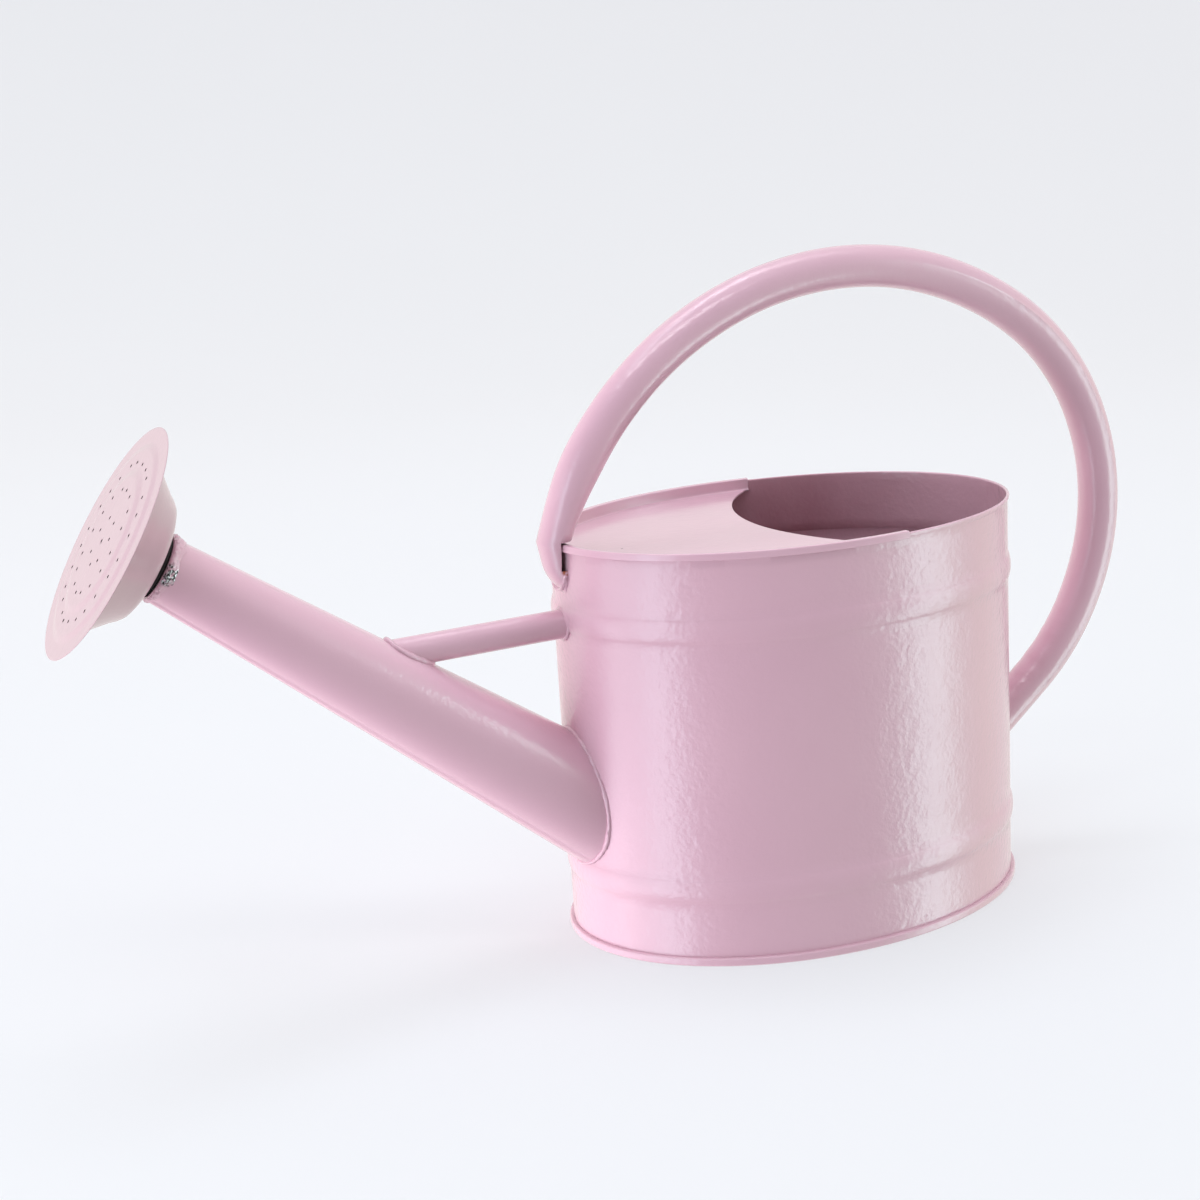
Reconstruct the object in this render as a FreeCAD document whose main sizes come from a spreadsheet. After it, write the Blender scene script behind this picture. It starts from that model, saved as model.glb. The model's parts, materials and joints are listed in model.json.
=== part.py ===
import FreeCAD, Part
import math
import os
import Sketcher
from FreeCAD import Placement, Rotation, Vector

# Sheet-metal watering can with an oval body, a half cover, a hoop handle, a braced
# spout and a screw-on rose.  Millimetres.  The origin is the middle of the base, on
# the ground: +Z is up and the spout points towards -X.

SIZES = {
    # oval body
    "half_length": 108,
    "half_width": 75,
    "body_height": 182,
    "sheet_gauge": 0.8,
    "fit_gap": 0.05,
    "rib_offset": 33.5,
    "rib_half_width": 4.5,
    "rib_height": 1.3,
    "rim_hem": 0.75,
    "hem_drop": 0.95,
    "plate_inset": 1.2,
    # base pan and its rolled seam
    "pan_gauge": 0.8,
    "pan_recess": 4.5,
    "seam_height": 3.7,
    "seam_proud": 1.86,
    "seam_bend": 1.1,
    "seam_corner": 1,
    # half cover, bounded behind by a round cut-out
    "cover_gauge": 0.7,
    "cover_recess": 5.3,
    "skirt_height": 3,
    "cutout_radius": 97.8,
    "cutout_centre": 84.3,
    # spout, a tapered tube
    "spout_angle": 36.9,
    "spout_length": 211.1,
    "spout_base_height": 68.5,
    "spout_base_radius": 24.2,
    "spout_tip_radius": 13.5,
    "spout_hole_inset": 1.6,
    # rose, measured along its own axis from the spout's tip
    "rose_angle": 33.1,
    "rose_x": -276.6,
    "rose_z": 195.6,
    "rose_reach": 22.8,
    "rose_radius": 50,
    "rose_gauge": 0.7,
    "rose_shell_radius": 39.5,
    "rose_shoulder_radius": 26,
    "rose_shoulder_reach": 5.4,
    "rose_neck_radius": 12.6,
    "rose_flange_width": 3,
    "shoulder_bend": 6,
    "face_step_outer": 42,
    "face_step_inner": 30,
    "face_step_height": 1.5,
    "face_hole_radius": 0.65,
    # screw joint between the rose and the spout
    "washer_thickness": 2,
    "washer_radius": 12.8,
    "thread_radius": 9,
    "thread_clearance": 0.05,
    "ferrule_bore": 7.6,
    "ferrule_reach": 9.5,
    "ferrule_depth": 6,
    "ferrule_flange": 1.6,
    "ferrule_inset": 0.6,
    "washer_play": 0.4,
    "socket_radius": 11.8,
    "socket_length": 9,
    # brace between the spout and the body
    "brace_radius": 6.35,
    "brace_gauge": 0.8,
    "brace_height": 145.8,
    "brace_drop_angle": 1,
    # hoop handle
    "handle_radius": 9.3,
    "handle_gauge": 1,
    "handle_arc_radius": 152,
    "handle_arc_x": 34.4,
    "handle_arc_z": 133.7,
    "handle_rear_radius": 112,
    "handle_join_angle": 36.6,
    "handle_end_angle": 139.85,
    "handle_tail": 37,
    "handle_tongue_length": 21.5,
    "handle_tongue_angle": 10.6,
    "handle_notch_gap": 2.6,
    "handle_notch_depth": 9,
    "handle_notch_rise": 1.2,
    # weld beads
    "weld_size": 3,
    "small_weld_size": 2,
    "nozzle_weld_length": 3.5,
    "front_weld_drop": 26,
    "front_weld_height": 16,
    "front_weld_proud": 2.4,
    "rear_weld_bottom": 40,
    "rear_weld_height": 60,
}

ROSE_HOLE_RINGS = ((0, 1), (10.5, 7), (22.5, 16), (34.2, 24))

doc = FreeCAD.newDocument("watering_can")
sheet = doc.addObject("Spreadsheet::Sheet", "Sizes")
for row, (alias, size) in enumerate(SIZES.items(), start=1):
    sheet.set("A%d" % row, alias)
    sheet.set("B%d" % row, str(size))
    sheet.setAlias("B%d" % row, alias)
doc.recompute()


def size(formula):
    """Return the number that a formula of sheet names stands for."""
    value = sheet.evalExpression(formula)
    return float(getattr(value, "Value", value))


def bind(thing, **formulas):
    """Tie properties of an object to formulas of sheet names."""
    for name, formula in formulas.items():
        thing.setExpression(name.replace("__", "."), in_sheet(formula))
    return thing


def in_sheet(formula):
    """Write a formula so that another object can read the sheet's names."""
    words = sorted(SIZES, key=len, reverse=True)
    for number, word in enumerate(words):
        formula = formula.replace(word, "{%d}" % number)
    for number, word in enumerate(words):
        formula = formula.replace("{%d}" % number, "Sizes." + word)
    return formula


def place(thing, x="0", y="0", z="0", turn=None, axis=(0, 1, 0)):
    """Place an object by formulas, turned about an axis by an angle in degrees."""
    thing.Placement = Placement(Vector(size(x), size(y), size(z)), Rotation(Vector(*axis), size(turn or "0")))
    bind(thing, Placement__Base__x=x, Placement__Base__y=y, Placement__Base__z=z)
    if turn:
        bind(thing, Placement__Rotation__Angle=turn)
    return thing


# ---- sketches ---------------------------------------------------------------------------


def outline(sketch, corners):
    """Draw a closed outline through corners (x, y) or (x, y, radius).

    A radius makes the edge that leaves the corner an arc, which bulges to the right of
    the way the outline runs where it is positive and to the left where it is negative.
    """
    points = [Vector(size(corner[0]), size(corner[1]), 0) for corner in corners]
    for number, corner in enumerate(corners):
        start = points[number]
        end = points[(number + 1) % len(points)]
        if len(corner) == 2:
            edge = sketch.addGeometry(Part.LineSegment(start, end))
        else:
            edge = sketch.addGeometry(bulge(start, end, size(corner[2])))
            fix(sketch, Sketcher.Constraint("Radius", edge, abs(size(corner[2]))), "abs(%s)" % corner[2])
        first = 1 if sketch.getPoint(edge, 1).distanceToPoint(start) < 1e-6 else 2
        pin(sketch, edge, first, corner)
        pin(sketch, edge, 3 - first, corners[(number + 1) % len(corners)])


def bulge(start, end, radius):
    """Return the arc of a given radius between two points."""
    chord = end - start
    half = chord.Length / 2
    rise = abs(radius) - math.sqrt(max(radius * radius - half * half, 0))
    side = Vector(chord.y, -chord.x, 0).normalize() * math.copysign(rise, radius)
    return Part.ArcOfCircle(start, start + chord / 2 + side, end)


def fix(sketch, constraint, formula):
    """Add a constraint whose value follows a formula."""
    number = sketch.addConstraint(constraint)
    sketch.setExpression("Constraints[%d]" % number, in_sheet(formula))


def pin(sketch, edge, end, corner):
    """Hold one end of an edge at a corner."""
    fix(sketch, Sketcher.Constraint("DistanceX", -1, 1, edge, end, size(corner[0])), corner[0])
    fix(sketch, Sketcher.Constraint("DistanceY", -1, 1, edge, end, size(corner[1])), corner[1])


def section(name, corners):
    """Return an upright profile in the XZ plane, for a sweep round the oval."""
    sketch = doc.addObject("Sketcher::SketchObject", name)
    sketch.Placement = Placement(Vector(0, 0, 0), Rotation(Vector(1, 0, 0), 90))
    outline(sketch, corners)
    return sketch


def attached_sketch(body, name, role):
    """Add a sketch on one of a body's own origin planes."""
    sketch = body.newObject("Sketcher::SketchObject", name)
    plane = next(item for item in body.Origin.OriginFeatures if item.Role == role)
    sketch.AttachmentSupport = (plane, "")
    sketch.MapMode = "FlatFace"
    return sketch


# ---- solids -----------------------------------------------------------------------------


def oval(name, inset="0"):
    """Return the body's oval, drawn inwards by an inset."""
    ellipse = doc.addObject("Part::Ellipse", name)
    return bind(ellipse, MajorRadius="half_length - (%s)" % inset, MinorRadius="half_width - (%s)" % inset)


def oval_block(name, inset, bottom, thickness):
    """Return an upright oval block."""
    block = doc.addObject("Part::Extrusion", name)
    block.Base = oval(name + "_outline", inset)
    block.DirMode = "Custom"
    block.Dir = Vector(0, 0, 1)
    block.Solid = True
    bind(block, LengthFwd=thickness)
    place(block.Base, z=bottom)
    return block


def swept(name, profile, spine):
    """Return a solid swept from a profile along a spine."""
    sweep = doc.addObject("Part::Sweep", name)
    sweep.Sections = [profile]
    sweep.Spine = (spine, [])
    sweep.Solid = True
    sweep.Frenet = True
    return sweep


def cone(name, near, far, length, **where):
    """Return a cone or, where both radii are the same formula, a cylinder."""
    kind = "Part::Cylinder" if near == far else "Part::Cone"
    solid = doc.addObject(kind, name)
    if near == far:
        bind(solid, Radius=near, Height=length)
    else:
        bind(solid, Radius1=near, Radius2=far, Height=length)
    return place(solid, **where)


def cut(name, base, *tools):
    """Take each tool away from a base."""
    for number, tool in enumerate(tools):
        last = number == len(tools) - 1
        step = doc.addObject("Part::Cut", name if last else "%s_less_%s" % (name, tool.Name))
        step.Base = base
        step.Tool = tool
        base = step
    return base


def joined(name, *solids):
    """Fuse solids into one."""
    union = doc.addObject("Part::MultiFuse", name)
    union.Shapes = list(solids)
    return union


def common(name, base, tool):
    """Keep what two solids share."""
    shared = doc.addObject("Part::Common", name)
    shared.Base = base
    shared.Tool = tool
    return shared


def revolved(name, corners):
    """Return a body turned about the rose's axis, its profile in (radius, reach) from the spout's tip."""
    body = doc.addObject("PartDesign::Body", name)
    sketch = attached_sketch(body, name + "_profile", "XZ_Plane")
    outline(sketch, corners)
    turned = body.newObject("PartDesign::Revolution", name + "_turned")
    turned.Profile = sketch
    turned.ReferenceAxis = (sketch, ["V_Axis"])
    turned.Angle = 360
    place(body, x="rose_x", z="rose_z", turn="90 - rose_angle", axis=(0, -1, 0))
    return body


# ---- shared tool solids -----------------------------------------------------------------

# how far tools run past the solids that they trim
SPOUT_ROOT = 40
OVERRUN = 4
FAR = 30
MITRE_BLOCK = 15
TONGUE_FILLET = 2.5
CORE_OVERRUN = 0.05


def spout_radius(reach, growth="0"):
    """Return the spout's radius at a distance beyond its meeting with the wall's front."""
    slope = "(spout_base_radius - spout_tip_radius) / spout_length"
    return "spout_base_radius - (%s) * %s + (%s)" % (reach, slope, growth)


def spout_cone(name, growth="0", start=-SPOUT_ROOT, end=None):
    """Return the spout's cone, made fatter by a growth, from one reach to another."""
    end = end or "spout_length + %g" % OVERRUN
    return cone(
        name,
        spout_radius(start, growth),
        spout_radius(end, growth),
        "%s - (%s)" % (end, start),
        x="-half_length - (%s) * cos(spout_angle)" % start,
        z="spout_base_height + (%s) * sin(spout_angle)" % start,
        turn="90 - spout_angle",
        axis=(0, -1, 0),
    )


def rib(side, centre, upwards):
    """Return the two corners of a rib's bead on a wall face."""
    low = "%s - rib_half_width" % centre
    high = "%s + rib_half_width" % centre
    bead = "(rib_half_width^2 + rib_height^2) / (2 * rib_height)"
    if upwards:
        return [(side, low, bead), (side, high)]
    return [(side, high, "-" + bead), (side, low)]


def rib_block(name, centre):
    """Return the room that a rib takes in front of the wall."""
    corners = [("half_length - weld_size", "%s - rib_half_width" % centre)]
    corners += rib("half_length + fit_gap", centre, True)
    corners += [("half_length - weld_size", "%s + rib_half_width" % centre)]
    return swept(name, section(name + "_section", corners), oval(name + "_path"))


LOW_RIB = "rib_offset"
HIGH_RIB = "body_height - rib_offset"

wall_block = oval_block("wall_block", "-fit_gap", "0", "body_height + %g" % FAR)
weld_block = oval_block("weld_block", "-weld_size", "0", "body_height + %g" % FAR)
rim_block = oval_block(
    "rim_block",
    "-handle_notch_gap",
    "body_height - handle_notch_depth",
    "handle_notch_depth + handle_notch_rise",
)
low_rib_block = rib_block("low_rib_block", LOW_RIB)
high_rib_block = rib_block("high_rib_block", HIGH_RIB)
spout_block = spout_cone("spout_block", "fit_gap")


# ---- body -------------------------------------------------------------------------------


def body_wall():
    outside = "half_length"
    inside = "half_length - sheet_gauge"
    hem = "half_length + rim_hem"
    hem_high = "body_height - cover_gauge - hem_drop"
    hem_low = "%s - rim_hem" % hem_high
    foot = "pan_gauge + 2 * fit_gap"
    corners = [(outside, foot)]
    corners += rib(outside, LOW_RIB, True)
    corners += rib(outside, HIGH_RIB, True)
    corners += [(outside, "%s - rim_hem" % hem_low), (hem, hem_low)]
    corners += [(hem, hem_high, "(rim_hem + sheet_gauge) / 2"), (inside, hem_high)]
    corners += rib(inside, HIGH_RIB, False)
    corners += rib(inside, LOW_RIB, False)
    corners += [(inside, foot)]
    sheet_wall = swept("wall_sheet", section("wall_section", corners), oval("wall_path"))
    return cut("body_wall", sheet_wall, spout_cone("spout_bore", "-spout_hole_inset"))


def base_pan():
    leg_in = "half_length - sheet_gauge - fit_gap - pan_gauge"
    leg_out = "half_length - sheet_gauge - fit_gap"
    lip_in = "half_length + fit_gap"
    lip_out = "half_length + seam_proud"
    flat_out = lip_out + " - seam_corner"
    corners = [
        (leg_in, "-pan_gauge"),
        (flat_out, "-pan_gauge"),
        (flat_out, "0", "seam_bend"),
        (lip_out, "seam_corner"),
        (lip_out, "seam_height - seam_corner", "seam_bend"),
        (flat_out, "seam_height"),
        (lip_in, "seam_height"),
        (lip_in, "pan_gauge"),
        (leg_out, "pan_gauge"),
        (leg_out, "pan_recess"),
        (leg_in, "pan_recess"),
    ]
    seam = swept("pan_seam", section("pan_section", corners), oval("pan_path"))
    ground = oval_block("ground", "-%g" % OVERRUN, "-%g" % OVERRUN, "%g" % OVERRUN)
    plate = oval_block("pan_plate", "plate_inset", "pan_recess - pan_gauge", "pan_gauge")
    return joined("base_pan", cut("pan_foot", seam, ground), plate)


def top_cover():
    leg_in = "half_length - sheet_gauge - fit_gap - cover_gauge"
    leg_out = "half_length - sheet_gauge - fit_gap"
    skirt_in = "half_length + rim_hem + fit_gap"
    skirt_out = "half_length + rim_hem + fit_gap + cover_gauge"
    plate_low = "body_height - cover_recess - cover_gauge"
    skirt_low = "body_height - skirt_height"
    corners = [
        (leg_in, plate_low),
        (leg_out, plate_low),
        (leg_out, "body_height - cover_gauge"),
        (skirt_in, "body_height - cover_gauge"),
        (skirt_in, skirt_low),
        (skirt_out, skirt_low),
        (skirt_out, "body_height - cover_gauge", "cover_gauge"),
        (skirt_in, "body_height"),
        (leg_out, "body_height", "cover_gauge"),
        (leg_in, "body_height - cover_gauge"),
    ]
    flange = swept("cover_flange", section("cover_section", corners), oval("cover_path"))
    plate = oval_block("cover_plate", "plate_inset", plate_low, "cover_gauge")
    lid = joined("cover_blank", flange, plate)
    cutout = cone(
        "cover_cutout",
        "cutout_radius",
        "cutout_radius",
        "2 * %g" % FAR,
        x="cutout_centre",
        z="body_height - %g" % FAR,
    )
    return cut("top_cover", lid, cutout)


# ---- spout and brace --------------------------------------------------------------------


def past_tip(name):
    """Return the block of everything beyond the spout's tip."""
    wide = "%g" % FAR
    return cone(name, wide, wide, wide, x="rose_x", z="rose_z", turn="90 - rose_angle", axis=(0, -1, 0))


def spout_tube():
    bore = spout_cone("spout_hollow", "-sheet_gauge", start=-SPOUT_ROOT - 1)
    return cut("spout_tube", spout_cone("spout_skin"), bore, wall_block, low_rib_block, past_tip("beyond_tip"))


def brace(name, radius, overrun):
    """Return a cylinder on the brace's axis, long enough to be trimmed by the spout and the wall."""
    return cone(
        name,
        radius,
        radius,
        "3 * %g + %g" % (FAR, overrun),
        x="-half_length + 2 * %g" % OVERRUN,
        z="brace_height",
        turn="90 + brace_drop_angle",
        axis=(0, -1, 0),
    )


def brace_tube():
    hollow = brace("brace_hollow", "brace_radius - brace_gauge", 1)
    skin = brace("brace_skin", "brace_radius", 0)
    return cut("brace_tube", skin, hollow, spout_block, wall_block, high_rib_block)


# ---- handle -----------------------------------------------------------------------------


def in_plane(angle):
    """Return the direction at an angle above +X in the can's middle plane."""
    turn = math.radians(angle)
    return Vector(math.cos(turn), 0, math.sin(turn))


def arc_bar(name, radius, ring, ring_radius, centre, first, last):
    """Return a bar bent round a centre from one angle to another, both above +X."""
    bar = doc.addObject("Part::Torus", name)
    bind(bar, Radius1=ring_radius, Radius2=radius)
    bar.Angle3 = last - first
    bar.Placement = Placement(centre, Rotation(Vector(1, 0, 0), 90).multiply(Rotation(Vector(0, 0, 1), first)))
    return bar


def straight_bar(name, radius, start, direction, length):
    """Return a straight bar from a point along a direction."""
    bar = doc.addObject("Part::Cylinder", name)
    bind(bar, Radius=radius, Height=length)
    bar.Placement = Placement(start, Rotation(Vector(0, 0, 1), direction))
    return bar


def half_space(name, corner, normal):
    """Return a block on one side of the mitre at the tongue's bend."""
    block = doc.addObject("Part::Box", name)
    block.Length = block.Width = 2 * MITRE_BLOCK
    block.Height = MITRE_BLOCK
    turn = Rotation(Vector(0, 0, 1), normal)
    middle = turn.multVec(Vector(MITRE_BLOCK, MITRE_BLOCK, 0))
    block.Placement = Placement(corner - middle, turn)
    return block


def handle_bar(name, radius, extra):
    """Return a bar along the handle's line, its two ends longer by an extra length.

    The line is a straight tongue, a mitred bend at the rim, two tangent arcs and a
    straight tail.
    """
    front_radius = size("handle_arc_radius")
    front_centre = Vector(size("handle_arc_x"), 0, size("handle_arc_z"))
    join = 90 - size("handle_join_angle")
    end = 90 - size("handle_end_angle")
    rear_centre = front_centre + in_plane(join) * (front_radius - size("handle_rear_radius"))
    bend = 180 - math.degrees(math.asin((size("body_height") - front_centre.z) / front_radius))
    kink = front_centre + in_plane(bend) * front_radius
    down_arc = in_plane(bend + 90)
    down_tongue = in_plane(size("handle_tongue_angle") - 90)
    mitre = (down_arc + down_tongue).normalize()
    upper_side = half_space(name + "_above_mitre", kink, mitre * -1)
    lower_side = half_space(name + "_below_mitre", kink, mitre)
    overlap = size("handle_radius") / 2
    front = arc_bar(name + "_front", radius, "front", "handle_arc_radius", front_centre, join, bend)
    rear = arc_bar(name + "_rear", radius, "rear", "handle_rear_radius", rear_centre, end, join)
    stub = straight_bar(name + "_stub", radius, kink, down_arc, "handle_radius / 2")
    tail_start = rear_centre + in_plane(end) * size("handle_rear_radius")
    tail = straight_bar(name + "_tail", radius, tail_start, in_plane(end - 90), "handle_tail + %g" % extra)
    tongue_start = kink - down_tongue * overlap
    tongue_length = "handle_tongue_length + handle_radius / 2 + %g" % extra
    tongue = straight_bar(name + "_tongue", radius, tongue_start, down_tongue, tongue_length)
    hoop = cut(name + "_hoop", joined(name + "_bent", front, rear, stub, tail), lower_side)
    return joined(name, hoop, cut(name + "_leg", tongue, upper_side))


def handle_tube():
    hollow = handle_bar("handle_hollow", "handle_radius - handle_gauge", 1)
    return cut("handle_tube", handle_bar("handle_skin", "handle_radius", 0), hollow, wall_block_short, rim_block)


# ---- welds ------------------------------------------------------------------------------


def collar(name, outer, base, *tools):
    """Return a weld bead: what lies near both pieces and in neither."""
    return cut(name, common(name + "_blank", outer, base), *tools)


def spout_base_weld():
    fat_spout = spout_cone("spout_fat", "weld_size")
    return collar("spout_base_weld", fat_spout, weld_block, spout_block, wall_block, low_rib_block)


def brace_body_weld():
    return collar("brace_body_weld", brace_fat, weld_block, brace_block, wall_block, high_rib_block)


def brace_spout_weld():
    fat_spout = spout_cone("spout_brace_fat", "small_weld_size")
    return collar("brace_spout_weld", brace_fat, fat_spout, brace_block, spout_block)


def nozzle_weld():
    radius = "spout_tip_radius + small_weld_size / 2"
    ring = cone(
        "nozzle_ring",
        radius,
        radius,
        "nozzle_weld_length",
        x="rose_x + nozzle_weld_length * cos(rose_angle)",
        z="rose_z - nozzle_weld_length * sin(rose_angle)",
        turn="90 - rose_angle",
        axis=(0, -1, 0),
    )
    return cut("nozzle_weld", ring, spout_block)


def handle_front_weld():
    sides = common("front_weld_sides", handle_fat, low_block)
    bead = cut("front_weld_bead", sides, handle_block)
    plug = cut("front_weld_plug", handle_bar("front_weld_bar", "handle_radius", TONGUE_FILLET), handle_core)
    foot = common("front_weld_foot", plug, foot_block)
    return cut("handle_front_weld", joined("front_weld_blank", bead, foot), wall_block)


def handle_rear_weld():
    return collar("handle_rear_weld", handle_fat, rear_block, handle_block, wall_block)


# ---- rose and its screw joint -----------------------------------------------------------


def spout_ferrule():
    return revolved(
        "spout_ferrule",
        [
            ("ferrule_bore", "-ferrule_depth"),
            ("thread_radius + 1", "-ferrule_depth"),
            ("thread_radius + 1", "-ferrule_flange"),
            ("spout_tip_radius - sheet_gauge - ferrule_inset", "-ferrule_flange"),
            ("spout_tip_radius - sheet_gauge - ferrule_inset", "0"),
            ("thread_radius", "0"),
            ("thread_radius", "ferrule_reach - ferrule_inset"),
            ("thread_radius - ferrule_inset", "ferrule_reach"),
            ("ferrule_bore", "ferrule_reach"),
        ],
    )


def rose_washer():
    return revolved(
        "rose_washer",
        [
            ("thread_radius + washer_play", "fit_gap"),
            ("washer_radius", "fit_gap"),
            ("washer_radius", "washer_thickness - fit_gap"),
            ("thread_radius + washer_play", "washer_thickness - fit_gap"),
        ],
    )


def rose_socket():
    bore = "thread_radius + thread_clearance"
    return revolved(
        "rose_socket",
        [
            (bore, "washer_thickness"),
            ("socket_radius", "washer_thickness"),
            ("socket_radius", "washer_thickness + socket_length"),
            (bore, "washer_thickness + socket_length"),
        ],
    )


def rose_shell():
    """Return the rose's back: a flat neck, a rounded shoulder, a cone and a narrow flange."""
    neck = "washer_thickness"
    rim = "rose_reach - rose_gauge - fit_gap"
    flange = "%s - rose_gauge" % rim
    return revolved(
        "rose_shell",
        [
            ("socket_radius + fit_gap", neck),
            ("rose_neck_radius + rose_gauge", neck),
            ("rose_shoulder_radius - rose_flange_width", "rose_shoulder_reach - rose_gauge", "shoulder_bend"),
            ("rose_shoulder_radius + rose_gauge", "rose_shoulder_reach + 2 * rose_gauge"),
            ("rose_shell_radius", flange),
            ("rose_shell_radius + rose_flange_width", flange),
            ("rose_shell_radius + rose_flange_width", rim),
            ("rose_shell_radius - rose_gauge", rim),
            ("rose_shoulder_radius", "rose_shoulder_reach + 3 * rose_gauge", "rose_gauge - shoulder_bend"),
            ("rose_shoulder_radius - rose_flange_width - rose_gauge / 2", "rose_shoulder_reach"),
            ("rose_neck_radius + rose_gauge", "%s + rose_gauge" % neck),
            ("socket_radius + fit_gap", "%s + rose_gauge" % neck),
        ],
    )


def face_height(reach, layer):
    """Return the height of the face's front (layer 0) or back (layer 1) after a number of steps."""
    return "rose_reach + %d * face_step_height - %d * rose_gauge" % (reach, layer)


def rose_face():
    body = revolved(
        "rose_face",
        [
            ("0", face_height(2, 1)),
            ("face_step_inner - 1", face_height(2, 1)),
            ("face_step_inner + 1", face_height(1, 1)),
            ("face_step_outer - 1", face_height(1, 1)),
            ("face_step_outer + 1", face_height(0, 1)),
            ("rose_radius - 0.5", face_height(0, 1)),
            ("rose_radius", "rose_reach - rose_gauge / 2"),
            ("rose_radius - 0.5", face_height(0, 0)),
            ("face_step_outer + 1", face_height(0, 0)),
            ("face_step_outer - 1", face_height(1, 0)),
            ("face_step_inner + 1", face_height(1, 0)),
            ("face_step_inner - 1", face_height(2, 0)),
            ("0", face_height(2, 0)),
        ],
    )
    holes = attached_sketch(body, "rose_holes", "XY_Plane")
    for ring_radius, count in ROSE_HOLE_RINGS:
        for number in range(count):
            spot = ring_hole(ring_radius, count, number)
            circle = holes.addGeometry(Part.Circle(spot, Vector(0, 0, 1), size("face_hole_radius")))
            fix(holes, Sketcher.Constraint("Radius", circle, size("face_hole_radius")), "face_hole_radius")
            holes.addConstraint(Sketcher.Constraint("Block", circle))
    doc.recompute()
    pierced = body.newObject("PartDesign::Pocket", "rose_pierced")
    pierced.Profile = holes
    pierced.Type = "ThroughAll"
    pierced.Reversed = True
    doc.recompute()
    return body


def ring_hole(ring_radius, count, number):
    """Return the place of one hole of a hand-punched ring: a little off its even spacing."""
    turn = 2 * math.pi * (number + 0.09 * math.sin(2.4 * number + ring_radius)) / count
    radius = ring_radius + 0.5 * math.sin(1.7 * number + ring_radius) if ring_radius else 0
    return Vector(radius * math.cos(turn), radius * math.sin(turn), 0)


# ---- build, check and write -------------------------------------------------------------

wall_block_short = oval_block("wall_block_short", "-fit_gap", "0", "body_height + handle_notch_rise")
front_band = "body_height - front_weld_drop"
low_block = oval_block("low_block", "-front_weld_proud", front_band, "front_weld_height")
foot_block = oval_block("foot_block", "-%g" % FAR, front_band, "front_weld_height")
rear_band = oval_block("rear_band", "-%g" % OVERRUN, "rear_weld_bottom", "rear_weld_height")
rear_block = common("rear_block", weld_block, rear_band)
brace_block = brace("brace_block", "brace_radius + fit_gap", OVERRUN)
brace_fat = brace("brace_fat", "brace_radius + small_weld_size", OVERRUN)
handle_block = handle_bar("handle_block", "handle_radius + fit_gap", CORE_OVERRUN)
handle_core = handle_bar("handle_core", "handle_radius + handle_gauge", CORE_OVERRUN)
handle_fat = handle_bar("handle_fat", "handle_radius + small_weld_size", 1)

nodes = [
    body_wall(),
    base_pan(),
    top_cover(),
    spout_tube(),
    brace_tube(),
    handle_tube(),
    spout_ferrule(),
    rose_washer(),
    rose_socket(),
    rose_shell(),
    rose_face(),
    spout_base_weld(),
    brace_body_weld(),
    brace_spout_weld(),
    nozzle_weld(),
    handle_front_weld(),
    handle_rear_weld(),
]
doc.recompute()

for item in doc.Objects:
    for flag in ("Invalid", "Error"):
        if flag in item.State:
            raise RuntimeError("%s is %s" % (item.Label, item.State))

os.makedirs("parts", exist_ok=True)
for node in nodes:
    node.Label = node.Name
    shape = node.Shape
    if shape.isNull() or not shape.isValid():
        raise RuntimeError("%s has no valid shape" % node.Label)
    shape.exportStep("parts/%s.step" % node.Label)
    box = shape.BoundBox
    corners = (box.XMin, box.XMax, box.YMin, box.YMax, box.ZMin, box.ZMax)
    print("%-18s solids %d  volume %9.1f" % (node.Label, len(shape.Solids), shape.Volume))
    print("    box %.1f..%.1f  %.1f..%.1f  %.1f..%.1f" % corners)
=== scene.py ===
"""Looks of a pink sheet-metal watering can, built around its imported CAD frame.  Metres."""

import json
import math

import bmesh
import bpy
import numpy as np
from mathutils import Matrix, Vector, noise


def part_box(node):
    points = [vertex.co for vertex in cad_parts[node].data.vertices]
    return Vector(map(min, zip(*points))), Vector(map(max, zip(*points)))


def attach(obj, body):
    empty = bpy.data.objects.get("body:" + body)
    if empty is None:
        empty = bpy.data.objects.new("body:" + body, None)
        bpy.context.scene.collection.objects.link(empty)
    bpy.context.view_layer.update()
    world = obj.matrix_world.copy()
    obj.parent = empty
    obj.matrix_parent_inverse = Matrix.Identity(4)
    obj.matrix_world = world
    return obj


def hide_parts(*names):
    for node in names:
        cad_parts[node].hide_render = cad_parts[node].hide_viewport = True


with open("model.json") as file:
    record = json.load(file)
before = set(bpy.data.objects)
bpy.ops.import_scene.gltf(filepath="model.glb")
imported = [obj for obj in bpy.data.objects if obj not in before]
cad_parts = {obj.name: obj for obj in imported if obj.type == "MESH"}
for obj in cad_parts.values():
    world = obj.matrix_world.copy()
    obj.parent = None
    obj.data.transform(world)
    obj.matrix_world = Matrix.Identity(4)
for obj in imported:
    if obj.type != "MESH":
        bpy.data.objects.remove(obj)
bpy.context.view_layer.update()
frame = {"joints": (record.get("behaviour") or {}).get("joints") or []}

MM = 0.001

# ---- sizes, from the frame where it has them ------------------------------------------------

BODY_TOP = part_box("top_cover")[1].z
HALF_LENGTH = 108 * MM
HALF_WIDTH = 75 * MM
SHEET = 0.8 * MM
GAP = 0.05 * MM
OVAL_SIDES = 480
ACROSS = Vector((0, 1, 0))

RIB_OFFSET = 33.5 * MM
RIB_HALF = 4.5 * MM
RIB_EDGE = RIB_HALF * 1.25
RIB_HEIGHT = 1.2 * MM
HEM = 0.75 * MM

PAN_SHEET = 0.8 * MM
PAN_RECESS = 4.5 * MM
PLATE_RINGS = 14
SEAM_HEIGHT = 3.7 * MM
SEAM_PROUD = 1.86 * MM
SEAM_BEND = 1.0 * MM

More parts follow.
